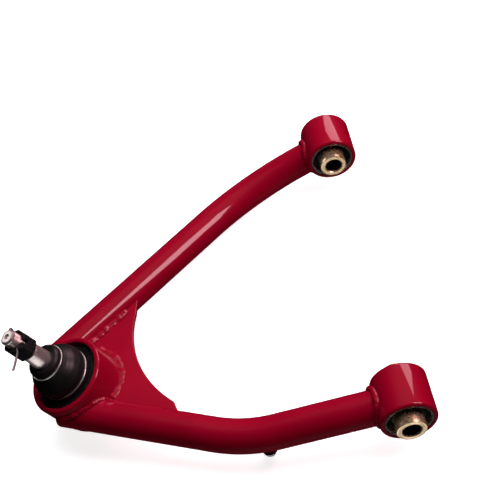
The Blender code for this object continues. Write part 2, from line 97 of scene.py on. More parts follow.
PLATE_REAR_END_X = -264 * MM
POST_X = -122.5 * MM
POST_FOOT_RADIUS = 7 * MM
POST_HEADING = Vector((-0.123, 0.123, -0.985)).normalized()
NUT_BASE = 79.5 * MM
NUT_TOP = 96.6 * MM
NUT_FLATS = 21.8 * MM
NUT_TURN = math.radians(11.6)
NUT_SLOT_DEPTH = 6 * MM
NUT_SLOT_WIDTH = 4.4 * MM
THREAD_RADIUS = 7.5 * MM
STUD_TIP = 106.5 * MM
BALL_RADIUS = 14.5 * MM
NECK_RADIUS = 7.4 * MM
PIN_Z = 95.4 * MM
PIN_TURN = math.radians(281.6)
PIN_BEND = math.radians(28)
SLEEVE_HALF = 31 * MM
SLEEVE_RADIUS = 13.2 * MM
SLEEVE_BORE = 8.2 * MM

# Sizes that only these pieces have
TUBE_SIDES = 112
THREAD_PITCH = 1.5 * MM
PIN_HOLE_RADIUS = 1.6 * MM
BITE = 0.2 * MM  # how far welded pieces reach into each other
RUBBER_GAP = 0.15 * MM
RING_TOOL_REACH = 80 * MM
EYE_TOOL_REACH = 60 * MM
PIN_TOOL_REACH = 20 * MM
WELD_SIDE = (0.31, 0.17, 0.94)  # a direction that no bead runs along
WELD_PITCH = 2.7 * MM
WELD_WAVE = 22 * MM  # length over which a bead's width and place wander
RING_WELD_SINK = 1.2 * MM  # how deep the bead round the ring sits in the web plate's faces
BOOT_BEND_LOW = 28 * MM  # a height on the boot's axis below the split
BOOT_SPLIT = 37 * MM  # where its lower half hands over to its upper half
BOOT_BEND_HIGH = 46 * MM  # and one above it


# ---- frames and meshes


def matrix_from(origin, axis, across):
    """A frame whose local Z is the axis and whose local X is nearest to across."""
    z = axis.normalized()
    x = (across - z * across.dot(z)).normalized()
    y = z.cross(x)
    return Matrix.Translation(origin) @ Matrix((x, y, z)).transposed().to_4x4()


JOINTS = {j["name"]: j for j in frame["record"]["behaviour"]["joints"]}
ACROSS = Vector((1, 0, 0))
EYE_AXIS = Vector((0, 1, 0))
BALL = Vector(JOINTS["ball_spin"]["pos_m"])
STUD_AXIS = Vector(JOINTS["ball_spin"]["axis"]).normalized()
JOINT = matrix_from(BALL, STUD_AXIS, ACROSS)
EYES = {
    side: matrix_from(Vector(JOINTS[side + "_bushing_twist"]["pos_m"]), EYE_AXIS, ACROSS)
    for side in ("front", "rear")
}


def to_object(name, mesh, material, matrix=None, sharp_deg=32):
    """A piece from a bmesh, whose points are moved by the matrix into the model's frame."""
    bmesh.ops.recalc_face_normals(mesh, faces=mesh.faces)
    data = bpy.data.meshes.new(name)
    mesh.to_mesh(data)
    mesh.free()
    if matrix:
        data.transform(matrix)
    data.shade_smooth()
    data.set_sharp_from_angle(angle=math.radians(sharp_deg))
    if material:
        data.materials.append(material)
    made = bpy.data.objects.new(name, data)
    bpy.context.collection.objects.link(made)
    return made


def filleted(corners, steps=6):
    """A profile of (r, z, fillet radius) corners, with each fillet as an arc."""
    points = []
    count = len(corners)
    for i, (r, z, radius) in enumerate(corners):
        here = Vector((r, z))
        if not radius:
            points.append(here)
            continue
        before = (Vector(corners[i - 1][:2]) - here).normalized()
        after = (Vector(corners[(i + 1) % count][:2]) - here).normalized()
        half = before.angle(after) / 2
        middle = here + (before + after).normalized() * radius / math.sin(half)
        first = here + before * radius / math.tan(half) - middle
        last = here + after * radius / math.tan(half) - middle
        turn = -first.angle_signed(last)
        for k in range(steps + 1):
            angle = turn * k / steps
            c, s = math.cos(angle), math.sin(angle)
            points.append(middle + Vector((first.x * c - first.y * s, first.x * s + first.y * c)))
    return points


def millimetres(corners):
    return [tuple(value * MM for value in corner) for corner in corners]


def turned(profile, sides, closed=True):
    """A profile of (r, z) points turned about Z. Points on the axis become poles."""
    mesh = bmesh.new()
    rings = []
    for r, z in profile:
        if abs(r) < 1e-7:
            rings.append([mesh.verts.new((0, 0, z))])
            continue
        angles = (2 * math.pi * k / sides for k in range(sides))
        rings.append([mesh.verts.new((r * math.cos(a), r * math.sin(a), z)) for a in angles])
    following = rings[1:] + rings[:1] if closed else rings[1:]
    for ring, after in zip(rings, following):
        if len(ring) == 1 and len(after) == 1:
            continue
        for k in range(sides):
            n = (k + 1) % sides
            if len(ring) == 1:
                mesh.faces.new((ring[0], after[k], after[n]))
            elif len(after) == 1:
                mesh.faces.new((ring[k], after[0], ring[n]))
            else:
                mesh.faces.new((ring[k], after[k], after[n], ring[n]))
    return mesh


def lathed(name, corners, steps, sides, material, matrix, closed=True):
    """A turned piece from its profile of (r, z, fillet radius) corners in millimetres."""
    profile = filleted(millimetres(corners), steps)
    return to_object(name, turned(profile, sides, closed), material, matrix)


def densified(profile, step, closed=True):
    """The same profile with extra points, so that no stretch is longer than step."""
    following = profile[1:] + profile[:1] if closed else profile[1:]
    points = []
    for here, after in zip(profile, following):
        count = max(1, math.ceil((after - here).length / step))
        points += [here.lerp(after, k / count) for k in range(count)]
    return points if closed else points + [profile[-1]]


def section_rings(mesh, path, section, side, closed=False):
    """Rings of points along a path: section(i) gives the (across, up) offsets at point i."""
    rings = []
    count = len(path)
    for i, point in enumerate(path):
        if closed:
            along = path[(i + 1) % count] - path[i - 1]
        else:
            along = path[min(i + 1, count - 1)] - path[max(i - 1, 0)]
        along = along.normalized()
        side = (side - along * side.dot(along)).normalized()
        other = along.cross(side)
        rings.append([mesh.verts.new(point + side * u + other * v) for u, v in section(i)])
    return rings


def skin(mesh, rings, closed=False, capped=False):
    """Faces between each ring and the next, and over both end rings if they are capped."""
    following = rings[1:] + rings[:1] if closed else rings[1:]
    for ring, after in zip(rings, following):
        # A closed path's last ring meets its first one turned, so the nearest point starts the seam.
        shift = 0
        if closed and after is rings[0]:
            shift = min(range(len(after)), key=lambda k: (after[k].co - ring[0].co).length)
        count = len(ring)
        for k in range(count):
            n = (k + 1) % count
            mesh.faces.new((ring[k], ring[n], after[(n + shift) % count], after[(k + shift) % count]))
    if capped:
        mesh.faces.new(rings[0])
        mesh.faces.new(rings[-1])


def swept(path, section, side, closed=False):
    """A solid along a path, which ends in caps unless the path is closed."""
    mesh = bmesh.new()
    skin(mesh, section_rings(mesh, path, section, side, closed), closed, capped=not closed)
    return mesh


def circle(radius, sides):
    angles = [2 * math.pi * k / sides for k in range(sides)]
    return [(radius * math.cos(a), radius * math.sin(a)) for a in angles]


def applied(item, tools, kind="DIFFERENCE"):
    """Cuts the tools out of the item, or keeps only what it shares with them, and drops them."""
    for tool in tools:
        step = item.modifiers.new("cut", "BOOLEAN")
        step.operation = kind
        step.solver = "EXACT"
        step.object = tool
    finish_modifiers(item)
    for tool in tools:
        bpy.data.objects.remove(tool, do_unlink=True)


def finish_modifiers(item, sharp_deg=32):
    bpy.context.view_layer.update()
    graph = bpy.context.evaluated_depsgraph_get()
    made = bpy.data.meshes.new_from_object(item.evaluated_get(graph))
    item.modifiers.clear()
    item.data = made
    made.shade_smooth()
    made.set_sharp_from_angle(angle=math.radians(sharp_deg))


def softened(item, width, segments=2, angle_deg=35, edge_material=None):
    """Rounds the edges of a finished mesh, in another material if one is given."""
    step = item.modifiers.new("edges", "BEVEL")
    step.width = width
    step.segments = segments
    step.limit_method = "ANGLE"
    step.angle_limit = math.radians(angle_deg)
    if edge_material:
        item.data.materials.append(edge_material)
        step.material = len(item.data.materials) - 1
    finish_modifiers(item)


def rod_tool(radius, low, high, matrix, sides=128):
    """A cylinder for cutting, about the matrix's Z."""
    profile = [Vector((0, low)), Vector((radius, low)), Vector((radius, high)), Vector((0, high))]
    return to_object("tool", turned(profile, sides, closed=False), None, matrix)


def prism(flats, low, high, turn, count=6):
    """A regular prism by its width across flats; turn is where its first corner points."""
    mesh = bmesh.new()
    reach = flats / 2 / math.cos(math.pi / count)
    angles = [turn + 2 * math.pi * k / count for k in range(count)]
    rims = []
    for z in (low, high):
        rims.append([mesh.verts.new((reach * math.cos(a), reach * math.sin(a), z)) for a in angles])
    skin(mesh, rims, capped=True)
    return mesh


def box_mesh(centre, size, turn):
    mesh = bmesh.new()
    bmesh.ops.create_cube(mesh, size=1)
    bmesh.ops.scale(mesh, vec=size, verts=mesh.verts)
    bmesh.ops.translate(mesh, vec=centre, verts=mesh.verts)
    bmesh.ops.rotate(mesh, matrix=Matrix.Rotation(turn, 3, "Z"), verts=mesh.verts)
    return mesh


def put(item, body, *nodes, slot):
    """The piece rides on the body and stands for the CAD nodes; its slot argument is not used."""
    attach(item, body)
    if nodes:
        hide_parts(*nodes)


# ---- materials


def map_range(tree, source, from_low, from_high, low, high):
    """A source's stretch from_low to from_high put on the stretch low to high, without passing it."""
    made = tree.nodes.new("ShaderNodeMapRange")
    limits = {"From Min": from_low, "From Max": from_high, "To Min": low, "To Max": high}
    for key, value in limits.items():
        made.inputs[key].default_value = value
    tree.links.new(source, made.inputs["Value"])
    return made.outputs["Result"]


class Surface:
    """A Principled material under construction, with short names for its procedural parts."""

    def __init__(self, name, colour, roughness, metallic=0.0, **settings):
        self.material = bpy.data.materials.new(name)
        self.material.use_nodes = True
        self.tree = self.material.node_tree
        self.shader = self.tree.nodes["Principled BSDF"]
        self.set("Base Color", (*colour, 1.0))
        self.set("Roughness", roughness)
        self.set("Metallic", metallic)
        for socket, value in settings.items():
            self.set(socket.replace("_", " "), value)
        self.place = self.node("ShaderNodeTexCoord").outputs["Object"]

    def set(self, socket, value):
        self.shader.inputs[socket].default_value = value

    def node(self, kind, **properties):
        made = self.tree.nodes.new(kind)
        for key, value in properties.items():
            setattr(made, key, value)
        return made

    def link(self, source, socket):
        self.tree.links.new(source, socket)

    def noise(self, scale, detail=2.0, rough=0.5, place=None):
        made = self.node("ShaderNodeTexNoise")
        made.inputs["Scale"].default_value = scale
        made.inputs["Detail"].default_value = detail
        made.inputs["Roughness"].default_value = rough
        self.link(place or self.place, made.inputs["Vector"])
        return made.outputs["Fac"]

    def vector(self, operation, source, value=None, other=None):
        """One step of vector arithmetic on a source, with a fixed value or a second source."""
        made = self.node("ShaderNodeVectorMath", operation=operation)
        self.link(source, made.inputs[0])
        if value is not None:
            made.inputs["Scale" if operation == "SCALE" else 1].default_value = value
        if other:
            self.link(other, made.inputs[1])
        return made.outputs["Value" if operation in ("LENGTH", "DOT_PRODUCT") else "Vector"]

    def as_x(self, source):
        join = self.node("ShaderNodeCombineXYZ")
        self.link(source, join.inputs["X"])
        return join.outputs["Vector"]

    def along(self, axis, stretch, origin=(0, 0, 0)):
        """Coordinates that change quickly along an axis and slowly across it, for turned marks."""
        less = self.vector("SUBTRACT", self.place, origin)
        quick = self.as_x(self.vector("DOT_PRODUCT", less, axis))
        slow = self.vector("SCALE", self.place, 1 / stretch)
        return self.vector("ADD", quick, other=slow)

    def radial(self, axis, origin):
        """Coordinates that change with the distance from an axis, for facing marks on end faces."""
        less = self.vector("SUBTRACT", self.place, origin)
        return self.as_x(self.vector("LENGTH", self.vector("CROSS_PRODUCT", less, axis)))

    def ranged(self, source, low, high, from_low=0.3, from_high=0.7):
        return map_range(self.tree, source, from_low, from_high, low, high)

    def roughness(self, source, low, high, **limits):
        self.link(self.ranged(source, low, high, **limits), self.shader.inputs["Roughness"])

    def tint(self, source, colour, low=0.0, high=1.0, **limits):
        """Mixes a colour over the base by the source, from the share low to the share high."""
        mix = self.node("ShaderNodeMix", data_type="RGBA")
        base = self.shader.inputs["Base Color"]
        if base.is_linked:
            self.link(base.links[0].from_socket, mix.inputs[6])
        else:
            mix.inputs[6].default_value = base.default_value[:]
        mix.inputs[7].default_value = (*colour, 1.0)
        self.link(self.ranged(source, low, high, **limits), mix.inputs[0])
        self.link(mix.outputs[2], base)

    def bump(self, source, depth, strength=1.0):
        """Adds relief: depth is in metres between the source's 0 and 1."""
        made = self.node("ShaderNodeBump")
        made.inputs["Strength"].default_value = strength
        made.inputs["Distance"].default_value = depth
        self.link(source, made.inputs["Height"])
        normal = self.shader.inputs["Normal"]
        if normal.is_linked:
            self.link(normal.links[0].from_socket, made.inputs["Normal"])
        self.link(made.outputs["Normal"], normal)


def red_coat(name="crimson_powder_coat", relief=0.0, film=0.06, gloss=0.9):
    """Crimson gloss powder coat: orange peel, a soft mottle and a clear top film."""
    made = Surface(name, (0.275, 0.0, 0.015), 0.42, Coat_Weight=gloss, Coat_Roughness=film, Coat_IOR=1.5)
    made.set("Specular IOR Level", 0.06)
    made.tint(made.noise(26, 3), (0.225, 0.0, 0.012), 0.0, 0.7)
    made.tint(made.noise(2400, 1), (0.36, 0.002, 0.02), 0.0, 0.25, from_low=0.55, from_high=0.75)
    made.roughness(made.noise(70, 3), 0.36, 0.48)
    made.bump(made.noise(330, 2, 0.4), 0.00009, 0.45)
    made.bump(made.noise(60, 1), 0.0002, 0.25)
    if relief:
        made.bump(made.noise(620, 2, 0.5), relief * 0.5, 0.8)
        made.bump(made.noise(260, 1), relief * 1.6, 0.8)
    return made.material


def rubber(name, level=0.0045):
    made = Surface(name, (level, level, level * 1.02), 0.42)
    made.set("Specular IOR Level", 0.4)
    made.tint(made.noise(45, 4), (0.011, 0.0105, 0.010), 0.0, 0.8)
    made.tint(made.noise(900, 3), (0.015, 0.0145, 0.013), 0.0, 0.4, from_low=0.6, from_high=0.8)
    made.roughness(made.noise(140, 4), 0.33, 0.48)
    made.bump(made.noise(1600, 3), 0.00004, 0.4)
    return made.material


def plated(name, colour, other, axis, origin, low=0.18, high=0.38, marks=0.00003, spots=0.55):
    """Turned and plated steel: fine turning marks along and across the axis and a cloudy tint."""
    made = Surface(name, colour, 0.28, 0.85)
    made.tint(made.noise(160, 4), other, 0.0, 0.85)
    dark = tuple(c * 0.45 for c in colour)
    made.tint(made.noise(700, 4), dark, 0.0, spots, from_low=0.56, from_high=0.74)
    made.roughness(made.noise(320, 4), low, high)
    made.bump(made.noise(2600, 2, place=made.along(axis, 40, origin)), marks)
    made.bump(made.noise(2600, 2, place=made.radial(axis, origin)), marks)
    made.bump(made.noise(900, 3), marks * 0.6, 0.6)
    return made.material


def black_oxide(name, colour=(0.012, 0.012, 0.014), metallic=0.35):
    made = Surface(name, colour, 0.3, metallic)
    made.tint(made.noise(220, 4), (0.02, 0.019, 0.018), 0.0, 0.6)
    made.tint(made.noise(1500, 3), (0.05, 0.047, 0.045), 0.0, 0.25, from_low=0.62, from_high=0.8)
    made.roughness(made.noise(260, 4), 0.22, 0.42)
    made.bump(made.noise(1200, 3), 0.00004, 0.5)
    return made.material


def chrome():
    made = Surface("chrome_plate", (0.78, 0.79, 0.80), 0.08, 1.0)
    made.tint(made.noise(500, 3), (0.62, 0.63, 0.66), 0.0, 0.8)
    made.roughness(made.noise(300, 4), 0.05, 0.16)
    made.bump(made.noise(1500, 2), 0.00001, 0.5)
    return made.material


def nylon():
    made = Surface("natural_nylon", (0.70, 0.65, 0.52), 0.45)
    made.tint(made.noise(120, 3), (0.55, 0.48, 0.33), 0.0, 0.7)
    made.roughness(made.noise(400, 3), 0.3, 0.55)
    made.bump(made.noise(1500, 2), 0.00003, 0.5)
    return made.material


def backdrop_paint(name, glow):
    """Matt white paper that glows a little, so that shadows on it stay pale."""
    made = Surface(name, (0.90, 0.90, 0.90), 0.8)
    made.tint(made.noise(6, 4), (0.88, 0.88, 0.885), 0.0, 1.0)
    made.roughness(made.noise(20, 3), 0.7, 0.9)
    made.bump(made.noise(700, 2), 0.00003, 0.3)
    made.set("Emission Color", (1.0, 1.0, 1.0, 1.0))
    made.set("Emission Strength", glow)
    return made


def floor_paper():
    """White paper that glows more away from the object and lets a view from below through."""
    made = backdrop_paint("floor_paper", 0.8)
    reach = made.vector("LENGTH", made.place)
    glow = map_range(made.tree, reach, 0.6, 2.5, 0.8, 1.0)
    made.link(glow, made.shader.inputs["Emission Strength"])
    output = next(n for n in made.tree.nodes if n.type == "OUTPUT_MATERIAL")
    clear = made.node("ShaderNodeBsdfTransparent")
    facing = made.node("ShaderNodeNewGeometry")
    mix = made.node("ShaderNodeMixShader")
    made.link(facing.outputs["Backfacing"], mix.inputs["Fac"])
    made.link(made.shader.outputs["BSDF"], mix.inputs[1])
    made.link(clear.outputs["BSDF"], mix.inputs[2])
    made.link(mix.outputs["Shader"], output.inputs["Surface"])
    return made.material


RED = red_coat()
RED_WELD = red_coat("crimson_coat_on_weld", 0.0012, 0.12)
RED_FILLET = red_coat("crimson_coat_on_fillet", 0.0005, 0.2, 0.45)
BOOT_RUBBER = rubber("boot_rubber")
BUSH_RUBBER = rubber("bushing_rubber", 0.004)
ON_EYES = (EYE_AXIS, (0, 0, 0))  # the axis and origin that turning marks follow
ON_STUD = (STUD_AXIS, BALL)
GOLD = plated("yellow_zinc", (0.66, 0.47, 0.25), (0.72, 0.56, 0.38), *ON_EYES)
CAP_GOLD = plated("yellow_zinc_cap", (0.62, 0.50, 0.28), (0.70, 0.60, 0.42), *ON_STUD, 0.14, 0.28)
ZINC = plated("bright_zinc", (0.62, 0.61, 0.58), (0.50, 0.49, 0.47), *ON_EYES)
WIRE = plated("spring_wire", (0.78, 0.76, 0.72), (0.66, 0.64, 0.61), *ON_STUD, 0.3, 0.4, 0.000001, 0.15)
PIN_STEEL = plated("pin_steel", (0.30, 0.295, 0.285), (0.22, 0.215, 0.21), *ON_STUD, 0.3, 0.45, 0.000002)
# Steel for the stud, tinted pink: a painted reflection of pink light.
STUD_STEEL = plated("ground_steel_pink_reflection", (0.62, 0.54, 0.51), (0.52, 0.45, 0.43), *ON_STUD, 0.3, 0.44, 0.00004)
BLACK = black_oxide("black_oxide")
HOUSING_BLACK = black_oxide("housing_black", (0.006, 0.0055, 0.005), 0.1)
CHROME = chrome()
# Lighter steel for the nut's rounded edges: worn steel, and a painted highlight along the edges.
WORN_EDGE_AND_HIGHLIGHT = plated("worn_edge_and_highlight", (0.42, 0.38, 0.36), (0.24, 0.22, 0.21), *ON_STUD, 0.24, 0.4, 0.000005)
# Darker steel for the sleeves' bores: painted shade inside the bore.
BORE_PAINTED_SHADE = black_oxide("bore_painted_shade", (0.03, 0.02, 0.012), 0.4)
NYLON = nylon()


# ---- the welded arm


def leg_path(apex, heading, eye, arc_steps=40, step=0.008):
    """The centre line of a leg: straight from the ring, one bend at the apex, straight to the eye."""
    start = apex + heading * (TUBE_END_X - apex.x) / heading.x
    back = -heading
    ahead = (eye - apex).normalized()
    half = back.angle(ahead) / 2
    reach = BEND_RADIUS / math.tan(half)
    middle = apex + (back + ahead).normalized() * BEND_RADIUS / math.sin(half)
    first = apex + back * reach - middle
    last = apex + ahead * reach - middle
    turn = first.angle(last)

    def straight(low, high):
        count = max(2, int((high - low).length / step))
        return [low.lerp(high, k / count) for k in range(count)]

    points = straight(start, middle + first)
    for k in range(arc_steps):
        share = k / arc_steps
        from_first = first * math.sin((1 - share) * turn)
        from_last = last * math.sin(share * turn)
        points.append(middle + (from_first + from_last) / math.sin(turn))
    return points + straight(middle + last, eye) + [eye]


def tube_mesh(path):
    """A tube that is closed at its first end, with a softened rim there, and open at its last."""
    mesh = bmesh.new()
    rim = 0.9 * MM
    along = (path[1] - path[0]).normalized()
    spine = [path[0], path[0] + along * rim * 0.3, path[0] + along * rim] + path[1:]
    radii = [TUBE_RADIUS - rim, TUBE_RADIUS - rim * 0.3] + [TUBE_RADIUS] * (len(spine) - 2)
    outside = section_rings(mesh, spine, lambda i: circle(radii[i], TUBE_SIDES), UP)
    skin(mesh, outside)
    mesh.faces.new(outside[0])
    inner = [path[0] + along * TUBE_WALL] + path[1:]
    bore = circle(TUBE_RADIUS - TUBE_WALL, TUBE_SIDES)
    inside = section_rings(mesh, inner, lambda i: bore, UP)
    skin(mesh, inside)
    mesh.faces.new(inside[0])
    skin(mesh, [outside[-1], inside[-1]])
    return mesh


def plane_of_legs(paths):
    normal = REAR_HEADING.cross(FRONT_HEADING).normalized()
    return paths["front"][0], normal


def lifted(flat, base, normal):
    height = base.z - (normal.x * (flat.x - base.x) + normal.y * (flat.y - base.y)) / normal.z
    return Vector((flat.x, flat.y, height))


def point_at_x(path, x):
    for low, high in zip(path, path[1:]):
        if low.x <= x <= high.x:
            return low.lerp(high, (x - low.x) / (high.x - low.x))
    raise ValueError("no point of the path is at this X")


def plate_object(paths):
    base, normal = plane_of_legs(paths)
    chord = PLATE_REAR_CORNER - PLATE_FRONT_CORNER
    middle = (PLATE_FRONT_CORNER + PLATE_REAR_CORNER) / 2
    inward = Vector((-chord.y, chord.x)).normalized()
    centre = middle + inward * math.sqrt(PLATE_ARC_RADIUS**2 - (chord.length / 2) ** 2)
    first = PLATE_FRONT_CORNER - centre
    last = PLATE_REAR_CORNER - centre
    start = math.atan2(first.y, first.x) % (2 * math.pi)
    end = math.atan2(last.y, last.x) % (2 * math.pi)
    steps = 72
    outline = [PLATE_FRONT_CORNER + PLATE_FRONT_EDGE * TUBE_RADIUS * 1.6]
    for k in range(steps + 1):
        a = start + (end - start) * k / steps
        outline.append(centre + PLATE_ARC_RADIUS * Vector((math.cos(a), math.sin(a))))
    outline.append(PLATE_REAR_CORNER + PLATE_REAR_EDGE * TUBE_RADIUS * 1.1)
    outline += [point_at_x(paths["rear"], PLATE_REAR_END_X).xy]
    outline += [point_at_x(paths["front"], PLATE_FRONT_END_X).xy]
    mesh = bmesh.new()
    drop = normal * (PLATE_OFFSET - PLATE_THICKNESS / 2)
    low = [mesh.verts.new(lifted(p, base, normal) + drop) for p in outline]
    high = [mesh.verts.new(v.co + normal * PLATE_THICKNESS) for v in low]
    skin(mesh, [low, high], capped=True)
    plate = to_object("web_plate", mesh, RED)
    softened(plate, 0.7 * MM, 3)
    return plate


def resampled(points, closed, step=0.5 * MM):
    """Points evenly spaced along a path, after two passes of smoothing."""
    pts = [p.copy() for p in points]
    for _ in range(2):
        kept = pts[:]
        for i in range(len(pts)):
            if closed or 0 < i < len(pts) - 1:
                pts[i] = (kept[i - 1] + 2 * kept[i] + kept[(i + 1) % len(kept)]) / 4
    if closed:
        pts = pts + [pts[0]]
    lengths = [0.0]
    for low, high in zip(pts, pts[1:]):
        lengths.append(lengths[-1] + (high - low).length)
    count = max(8, round(lengths[-1] / step))
    made = []
    segment = 0
    for k in range(count if closed else count + 1):
        want = lengths[-1] * k / count
        while segment < len(pts) - 2 and lengths[segment + 1] < want:
            segment += 1
        span = lengths[segment + 1] - lengths[segment]
        share = (want - lengths[segment]) / span if span > 0 else 0
        made.append(pts[segment].lerp(pts[segment + 1], min(1.0, share)))
    return made, lengths[-1] / count


def weld(name, points, radius, seed, closed=False, rippled=0.16, up=WELD_SIDE, width=1.08, coat=RED_WELD):
    """A weld bead along a path: stacked ripples, a width that wanders and domed ends."""
    path, step = resampled(points, closed)
    rng = random.Random(seed)
    phases = [rng.uniform(0, 2 * math.pi) for _ in range(6)]
    count = len(path)
    total = count * step
    pitch = total / max(1, round(total / WELD_PITCH))
    waves = max(1, round(total / WELD_WAVE))

    def wander(i, which):
        turn = 2 * math.pi * i / count
        slow = math.sin(waves * turn + phases[which])
        return slow + 0.6 * math.sin((2 * waves + 1) * turn + phases[which + 1])

    radii = []
    for i in range(count):
        share = (i * step / pitch) % 1.0
        ripple = 0.90 + rippled * math.sqrt(max(0.0, 1 - share**2))
        jitter = rng.uniform(1 - rippled / 4, 1 + rippled / 4)
        size = radius * ripple * (1 + 0.09 * wander(i, 0)) * jitter
        if not closed:
            ends = min(i, count - 1 - i) * step / (radius * 1.1)
            size *= math.sqrt(max(0.02, 1 - max(0.0, 1 - ends) ** 2))
        radii.append(size)

    def section(i):
        lift = 0.12 * radius * wander(i, 2)
        return [(u + lift, v * width) for u, v in circle(radii[i], 14)]

    mesh = swept(path, section, Vector(up), closed)
    bead = to_object(name, mesh, coat, sharp_deg=75)
    put(bead, "arm", slot="red_coat")


def cylinder_exit(point, direction, matrix, radius):
    """How far along a line it leaves an endless cylinder about the matrix's Z, or None if it misses."""
    back = matrix.inverted()
    p = back @ point
    d = back.to_3x3() @ direction
    a = d.x**2 + d.y**2
    b = 2 * (p.x * d.x + p.y * d.y)
    c = p.x**2 + p.y**2 - radius**2
    inside = b * b - 4 * a * c
    if inside < 0:
        return None
    return (-b + math.sqrt(inside)) / (2 * a)


def tube_edge(centre, direction, count):
    """Points right round a leg's wall, at one place along it."""
    u = (UP - direction * direction.z).normalized()
    v = direction.cross(u)
    angles = (2 * math.pi * k / count for k in range(count))
    return [centre + TUBE_RADIUS * (u * math.cos(a) + v * math.sin(a)) for a in angles]


def eye_weld(name, eye, apex, matrix, seed):
    """The bead where a leg's end meets its eye, right round the tube."""
    direction = (eye - apex).normalized()
    points = []
    for start in tube_edge(eye, direction, 160):
        reach = cylinder_exit(start, -direction, matrix, EYE_RADIUS)
        points.append(start - direction * reach)
    weld(name, points, 3.1 * MM, seed, closed=True)


def ring_weld(name, path, heading, seed):
    """The bead where a leg runs alongside the ring, from one side of the tube to the other."""
    hits = []
    count = 240
    for edge in tube_edge(path[0], heading, count):
        reach = cylinder_exit(edge, heading, JOINT, RING_RADIUS)
        hits.append(edge + heading * reach if reach is not None and reach > 0 else None)
    first = next(k for k in range(count) if hits[k] is not None and hits[k - 1] is None)
    points = []
    for k in range(count):
        hit = hits[(first + k) % count]
        if hit is None:
            break
        points.append(hit)
    # Closed across the tube's end, along the ring's wall
    first_point = points[0].copy()
    last_point = points[-1].copy()
    steps = max(2, int((first_point - last_point).length / (0.8 * MM)))
    back = JOINT.inverted()
    for k in range(1, steps):
        local = back @ last_point.lerp(first_point, k / steps)
        flat = Vector((local.x, local.y, 0)).normalized() * RING_RADIUS
        points.append(JOINT @ Vector((flat.x, flat.y, local.z)))
    weld(name, points, 2.6 * MM, seed, closed=True)


def plate_welds(paths):
    """Beads where the web plate's two faces meet the legs and the ring."""
    base, normal = plane_of_legs(paths)
    seed = 20
    wide = {"up": normal, "width": 1.9}
    half = PLATE_THICKNESS / 2
    back = JOINT.inverted()
    for face, height in (("top", PLATE_OFFSET + half), ("under", PLATE_OFFSET - half)):
        across = math.sqrt(TUBE_RADIUS**2 - height**2)
        outward = normal if face == "top" else -normal
        corners = {}
        for side, heading, corner, coat, sink in (
            ("front", FRONT_HEADING, PLATE_FRONT_CORNER, RED_WELD, 0.3 * MM),
            ("rear", REAR_HEADING, PLATE_REAR_CORNER, RED_FILLET, 1.4 * MM),
        ):
            inward = normal.cross(heading).normalized()
            if side == "front":
                inward = -inward
            start = paths[side][0]
            far = (lifted(corner, base, normal) - start).dot(heading) - 1.5 * MM
            line = start + normal * height + inward * across
            near = cylinder_exit(line, heading, JOINT, RING_RADIUS + 1 * MM)
            count = 40
            edge = line - outward * sink
            points = [edge + heading * (near + (far - near) * k / count) for k in range(count + 1)]
            weld(f"weld_plate_{side}_{face}", points, 2.8 * MM, seed, rippled=0.07, coat=coat, **wide)
            corners[side] = points[0] + outward * sink
            seed += 1
        low, high = (back @ corners[side] for side in ("rear", "front"))
        first = math.atan2(low.y, low.x)
        last = math.atan2(high.y, high.x)
        points = []
        count = 80
        local_normal = back.to_3x3() @ normal
        local_base = back @ (base + normal * height)
        for k in range(count + 1):
            a = first + (last - first) * k / count
            on_wall = RING_RADIUS * Vector((math.cos(a), math.sin(a)))
            points.append(JOINT @ lifted(on_wall, local_base, local_normal) - outward * RING_WELD_SINK)
        weld(f"weld_plate_ring_{face}", points, 3.2 * MM, seed, rippled=0.012, coat=RED_FILLET, **wide)
        seed += 1


def build_arm():
    paths = {}
    ring_tool = (RING_RADIUS - BITE, -RING_TOOL_REACH, RING_TOOL_REACH, JOINT)
    for seed, (side, apex, heading) in enumerate(LEGS):
        eye = EYES[side].translation
        path = leg_path(apex, heading, eye)
        paths[side] = path
        leg = to_object(side + "_leg", tube_mesh(path), RED)
        eye_tool = (EYE_RADIUS - BITE, -EYE_TOOL_REACH, EYE_TOOL_REACH, EYES[side])
        applied(leg, [rod_tool(*ring_tool), rod_tool(*eye_tool)])
        put(leg, "arm", side + "_tube", slot="red_coat")
        eye_weld(side + "_eye_weld", eye, apex, EYES[side], seed)
        ring_weld(side + "_ring_weld", path, heading, seed + 5)
        corners = [
            (EYE_RADIUS, EYE_HALF, 2.4 * MM),
            (EYE_RADIUS, -EYE_HALF, 2.4 * MM),
            (EYE_BORE, -EYE_HALF, 1.0 * MM),
            (EYE_BORE, EYE_HALF, 1.0 * MM),
        ]
        barrel = to_object(side + "_eye_barrel", turned(filleted(corners), 144), RED, EYES[side])
        put(barrel, "arm", side + "_bushing_eye", slot="red_coat")
    corners = [
        (RING_RADIUS, RING_TOP, 2.6 * MM),
        (RING_RADIUS, RING_TAPER_Z, 12 * MM),
        (RING_FOOT_RADIUS, RING_BOTTOM, 1.4 * MM),
        (RING_BORE, RING_BOTTOM, 1.0 * MM),
        (RING_BORE, RING_TOP, 1.6 * MM),
    ]
    ring = to_object("joint_ring", turned(filleted(corners, 8), 192), RED, JOINT)
    put(ring, "arm", "ball_joint_ring", slot="red_coat")
    plate = plate_object(paths)
    tools = [rod_tool(*ring_tool)]
    core = circle(TUBE_RADIUS - BITE, TUBE_SIDES)
    for side in ("front", "rear"):
        tools.append(to_object("tool", swept(paths[side], lambda i: core, UP), None))
    applied(plate, tools)
    put(plate, "arm", "gusset_plate", slot="red_coat")
    plate_welds(paths)
    return paths


# ---- bushings


